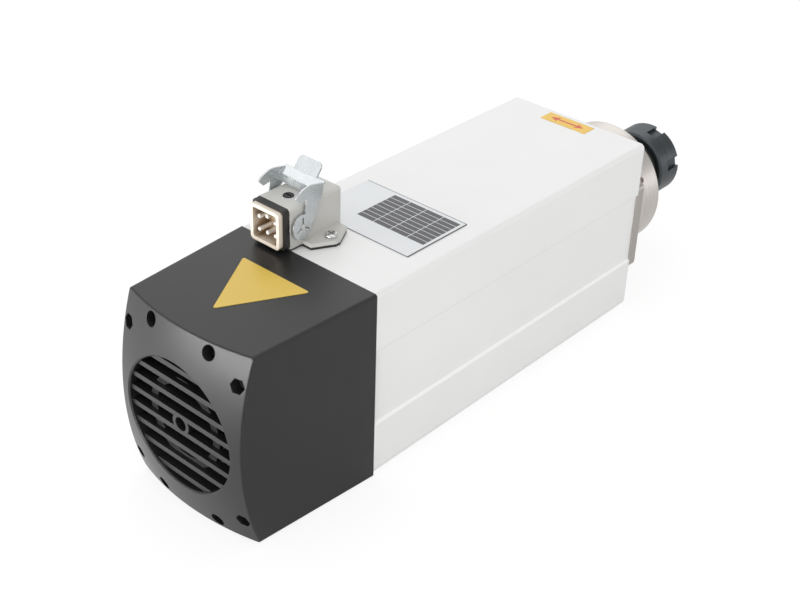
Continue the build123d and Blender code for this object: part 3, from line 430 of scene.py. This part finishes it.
# Dark grey for the plate's printed table, and for the painted shade along two of the plate's edges.
PRINT_AND_SHADE_GREY = grained(
    "dark_grey_print_and_shade", color=rgb(0.09, 0.09, 0.095), color_low=rgb(0.075, 0.075, 0.08), roughness=0.4,
    grain_mm=0.4, depth_mm=0.004)
YELLOW_FILM = grained(
    "yellow_film", color=rgb(0.86, 0.55, 0.07), color_low=rgb(0.83, 0.52, 0.06), roughness=0.3,
    grain_mm=0.5, depth_mm=0.004)
CORNER_YELLOW = grained(
    "muted_yellow_film", color=rgb(0.74, 0.52, 0.09), color_low=rgb(0.7, 0.48, 0.07), roughness=0.34,
    grain_mm=0.5, depth_mm=0.004)
PRINT_RED = grained(
    "red_print", color=rgb(0.7, 0.09, 0.04), color_low=rgb(0.66, 0.08, 0.035), roughness=0.35,
    grain_mm=0.5, depth_mm=0.004)

finishes = {
    WHITE_COAT: ["motor_frame"],
    CHARCOAL: ["fan_cover"],
    PLATE_ALUMINIUM: ["front_bearing_housing", "nose_cap"],
    CAST_ALUMINIUM: ["rear_end_shield"],
    GROUND_STEEL: ["spindle_shaft", "outer_ring_spacer", "inner_ring_spacer", "bearing_locknut", "collet",
                   "bearing_circlip", "preload_washer"],
    BLACK_OXIDE: ["collet_nut"],
    BEARING_STEEL: ["front_bearing_outer_rings", "front_bearing_inner_rings", "front_bearing_balls",
                    "rear_bearing_outer_ring", "rear_bearing_inner_ring", "rear_bearing_balls"],
    CAGE_BRASS: ["front_bearing_cages", "rear_bearing_cage"],
    LAMINATION: ["rotor_core", "stator_core"],
    COPPER: ["stator_windings"],
    ROTOR_ALUMINIUM: ["rotor_end_rings"],
    FAN_PLASTIC: ["cooling_fan"],
    ZINC: ["connector_flange_screws", "lever_pivots", "fan_screw"],
    BLACK_SCREW: ["front_plate_screws", "nose_cap_screws", "rear_end_shield_screws", "fan_cover_bolts",
                  "connector_top_screw"],
    LEVER_STEEL: ["locking_lever"],
    HOUSING_GREY: ["connector_housing"],
    RUBBER: ["connector_gasket", "connector_seal"],
    IVORY: ["connector_insert"],
    CONTACT: ["connector_pins"],
    LEAD_SLEEVE: ["lead_bundle"],
    PLATE_SILVER: ["rating_plate"],
    YELLOW_FILM: ["arrow_label"],
    CORNER_YELLOW: ["corner_label"],
}
sharp_angle = math.radians(28)


def dress_nodes():
    for material, names in finishes.items():
        for name in names:
            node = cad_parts[name]
            node.data.materials.clear()
            node.data.materials.append(material)
            node.data.set_sharp_from_angle(angle=sharp_angle)


dress_nodes()


# ---------------------------------------------------------------- mesh helpers
def finish_piece(name, shape, material):
    """Make the bmesh an object that rides on the housing."""
    mesh = bpy.data.meshes.new(name)
    shape.to_mesh(mesh)
    shape.free()
    mesh.materials.append(material)
    piece = bpy.data.objects.new(name, mesh)
    bpy.context.scene.collection.objects.link(piece)
    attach(piece, "housing")


def add_slab(shape, low, high):
    """Closed box between two corners."""
    middle = (low + high) / 2
    size = high - low
    matrix = Matrix.Translation(middle) @ Matrix.Diagonal((size.x, size.y, size.z, 1.0))
    bmesh.ops.create_cube(shape, size=1.0, matrix=matrix)


def add_prism(shape, points, low_z, high_z, matrix):
    """Closed prism over an outline in the XY plane."""
    corners = [shape.verts.new((x, y, low_z)) for x, y in points]
    face = shape.faces.new(corners)
    raised = bmesh.ops.extrude_face_region(shape, geom=[face])
    moved = [corner for corner in raised["geom"] if isinstance(corner, bmesh.types.BMVert)]
    bmesh.ops.translate(shape, verts=moved, vec=(0, 0, high_z - low_z))
    bmesh.ops.transform(shape, matrix=matrix, verts=corners + moved)


# ---------------------------------------------------------------- print on the rating plate, and painted shade along two of its edges
print_sunk = 0.01 * MM
plate_print_thickness = 0.06 * MM
plate_print_low = plate_high.z - print_sunk
plate_print_high = plate_high.z + plate_print_thickness
plate_edge_shade_width = 0.35 * MM
table_low_x = frame_low.x + 54.0 * MM
table_high_x = frame_low.x + 86.2 * MM
table_low_y = -35.2 * MM
table_high_y = 14.5 * MM
table_rows = 8
table_columns = 4
table_gap = 0.55 * MM


def plate_table():
    """Dark cells of a blank table, eight rows by four columns."""
    shape = bmesh.new()
    step_x = (table_high_x - table_low_x) / table_rows
    step_y = (table_high_y - table_low_y) / table_columns
    for row in range(table_rows):
        for column in range(table_columns):
            low = Vector((table_low_x + row * step_x, table_low_y + column * step_y, plate_print_low))
            high = Vector((low.x + step_x - table_gap, low.y + step_y - table_gap, plate_print_high))
            add_slab(shape, low, high)
    finish_piece("rating_plate_table", shape, PRINT_AND_SHADE_GREY)


def paint_plate_edge_shade():
    """Painted shade: a thin dark line along the plate's near side and its front end."""
    shape = bmesh.new()
    line_y = plate_low.y + plate_edge_shade_width
    line_x = plate_high.x - plate_edge_shade_width
    add_slab(shape, Vector((plate_low.x, plate_low.y, plate_print_low)),
             Vector((plate_high.x, line_y, plate_print_high)))
    add_slab(shape, Vector((line_x, line_y, plate_print_low)),
             Vector((plate_high.x, plate_high.y, plate_print_high)))
    finish_piece("rating_plate_edge_shade", shape, PRINT_AND_SHADE_GREY)


plate_table()
paint_plate_edge_shade()


# ---------------------------------------------------------------- print on the arrow label
arrow_print_thickness = 0.04 * MM
arrow_half_length = 12.6 * MM
arrow_barb_start = 6.6 * MM
arrow_barb_reach = 3.0 * MM
arrow_notch = 7.6 * MM
arrow_shaft_half_width = 0.75 * MM


def arrow_print():
    """Red arrow with a head at both ends, along the label."""
    shape = bmesh.new()
    head = [(arrow_shaft_half_width, arrow_notch), (arrow_barb_reach, arrow_barb_start),
            (0.0, arrow_half_length), (-arrow_barb_reach, arrow_barb_start),
            (-arrow_shaft_half_width, arrow_notch)]
    outline = head + [(-x, -y) for x, y in head]
    middle = (arrow_low + arrow_high) / 2
    add_prism(shape, outline, arrow_high.z - print_sunk, arrow_high.z + arrow_print_thickness,
              Matrix.Translation((middle.x, middle.y, 0)))
    bmesh.ops.recalc_face_normals(shape, faces=shape.faces)
    finish_piece("arrow_print", shape, PRINT_RED)


arrow_print()


# ---------------------------------------------------------------- floor, lights and camera
floor_half_width = 6.0
floor_gap = 0.2 * MM
floor_front_y, floor_back_y = -0.08, 0.08      # the floor's glow for gloss fades in between them


def floor_material():
    """White to the camera; for gloss it glows behind the object, a painted reflection, and is darker in
    front, a painted shade in reflections; plain for all other light.
    """
    glow_share = 0.8
    material = bpy.data.materials.new("pale_floor")
    material.use_nodes = True
    tree = material.node_tree
    tree.nodes.clear()
    output = tree.nodes.new("ShaderNodeOutputMaterial")
    path = tree.nodes.new("ShaderNodeLightPath").outputs
    behind = remap(tree, split(tree, object_coords(tree))["Y"], floor_front_y, floor_back_y)
    # Glossy rays behind the object see the floor glow: painted reflection.
    mirrored = math_node(tree, "MULTIPLY", path["Is Glossy Ray"], behind)
    in_front = math_node(tree, "SUBTRACT", path["Is Glossy Ray"], mirrored)
    # Glossy rays in front of the object see a darker floor: painted shade in reflections.
    pale = remap(tree, in_front, 0.0, 1.0, to_low=0.9, to_high=0.7)
    strength = remap(tree, path["Is Camera Ray"], 0.0, 1.0, to_low=1.35, to_high=1.06)
    diffuse = add(tree, "ShaderNodeBsdfDiffuse", Color=pale)
    glow = add(tree, "ShaderNodeEmission", Color=rgb(1.0, 1.0, 1.0), Strength=strength)
    seen = math_node(tree, "ADD", path["Is Camera Ray"], mirrored)
    mix = tree.nodes.new("ShaderNodeMixShader")
    tree.links.new(math_node(tree, "MULTIPLY", seen, glow_share), mix.inputs[0])
    tree.links.new(diffuse.outputs[0], mix.inputs[1])
    tree.links.new(glow.outputs[0], mix.inputs[2])
    tree.links.new(mix.outputs[0], output.inputs["Surface"])
    return material


def add_floor():
    mesh = bpy.data.meshes.new("floor")
    shape = bmesh.new()
    bmesh.ops.create_grid(shape, x_segments=1, y_segments=1, size=floor_half_width,
                          matrix=Matrix.Translation((0, 0, frame_low.z - floor_gap)))
    shape.to_mesh(mesh)
    shape.free()
    floor = bpy.data.objects.new("floor", mesh)
    bpy.context.scene.collection.objects.link(floor)
    mesh.materials.append(floor_material())


def add_world():
    """Even grey light from all round, white to the camera."""
    fill_strength = 0.45
    white_strength = 1.0
    world = bpy.data.worlds.new("studio")
    bpy.context.scene.world = world
    world.use_nodes = True
    tree = world.node_tree
    tree.nodes.clear()
    output = tree.nodes.new("ShaderNodeOutputWorld")
    soft = add(tree, "ShaderNodeBackground", Color=rgb(1.0, 1.0, 1.0), Strength=fill_strength)
    seen = add(tree, "ShaderNodeBackground", Color=rgb(1.0, 1.0, 1.0), Strength=white_strength)
    mix = tree.nodes.new("ShaderNodeMixShader")
    path = tree.nodes.new("ShaderNodeLightPath")
    tree.links.new(path.outputs["Is Camera Ray"], mix.inputs[0])
    tree.links.new(soft.outputs[0], mix.inputs[1])
    tree.links.new(seen.outputs[0], mix.inputs[2])
    tree.links.new(mix.outputs[0], output.inputs["Surface"])


def add_area_light(name, place, target, width, height, power, color=(1.0, 1.0, 1.0)):
    light = bpy.data.lights.new(name, "AREA")
    light.shape = "RECTANGLE"
    light.size = width
    light.size_y = height
    light.energy = power
    light.color = color
    holder = bpy.data.objects.new(name, light)
    holder.location = place
    direction = Vector(target) - Vector(place)
    holder.rotation_euler = direction.to_track_quat("-Z", "Y").to_euler()
    bpy.context.scene.collection.objects.link(holder)


def add_lights():
    """Softboxes, strips and cards round the object, with places and sizes in metres."""
    add_area_light("overhead_softbox", place=(-0.1, -0.1, 1.3), target=(-0.13, 0, 0), width=1.6,
                   height=1.2, power=5.7)
    add_area_light("back_softbox", place=(0.9, 0.85, 0.9), target=(-0.2, 0, 0), width=1.9, height=1.3,
                   power=6.6)
    add_area_light("left_strip", place=(-1.2, 0.14, 0.04), target=(-0.3, 0.05, 0.0), width=1.1,
                   height=0.22, power=12.5)
    add_area_light("left_card", place=(-1.0, 0.82, 0.75), target=(-0.25, 0, 0.08), width=0.9,
                   height=0.7, power=1.6)
    add_area_light("far_card", place=(-0.17, 0.85, 1.09), target=(-0.24, 0.02, 0.09), width=0.6,
                   height=0.45, power=1.0)
    add_area_light("front_softbox", place=(-0.2, -1.4, 0.7), target=(-0.1, 0, 0), width=1.4,
                   height=0.9, power=4.4, color=(1.0, 0.985, 0.95))
    add_area_light("front_strip", place=(0.95, -1.05, 0.12), target=(0.0, 0, 0), width=1.2,
                   height=0.34, power=1.6)


view_azimuth = math.radians(-49.072)
view_elevation = math.radians(32.43)
view_roll = math.radians(1.886)
view_distance = 0.92742         # this and the shifts in metres
view_shift_right = -0.11725
view_shift_up = -0.06815
focal_length_px = 1381.94
picture_width_px = 800
sensor_width_mm = 36.0
near_clip = 0.01


def add_camera():
    """Camera that looks at the origin from the view's angles, and is then shifted in its own plane."""
    back = Vector((math.sin(view_azimuth) * math.cos(view_elevation),
                   -math.cos(view_azimuth) * math.cos(view_elevation), math.sin(view_elevation)))
    level = (-back).cross(Vector((0, 0, 1))).normalized()
    upright = level.cross(-back)
    right = level * math.cos(view_roll) + upright * math.sin(view_roll)
    up = upright * math.cos(view_roll) - level * math.sin(view_roll)
    camera = bpy.data.cameras.new("camera")
    camera.sensor_width = sensor_width_mm
    camera.lens = sensor_width_mm * focal_length_px / picture_width_px
    camera.clip_start = near_clip
    holder = bpy.data.objects.new("camera", camera)
    turn = Matrix((right, up, back)).transposed()
    place = back * view_distance + right * view_shift_right + up * view_shift_up
    holder.matrix_world = Matrix.Translation(place) @ turn.to_4x4()
    bpy.context.scene.collection.objects.link(holder)
    bpy.context.scene.camera = holder


add_floor()
add_world()
add_lights()
add_camera()
bpy.context.scene.view_settings.view_transform = "Standard"
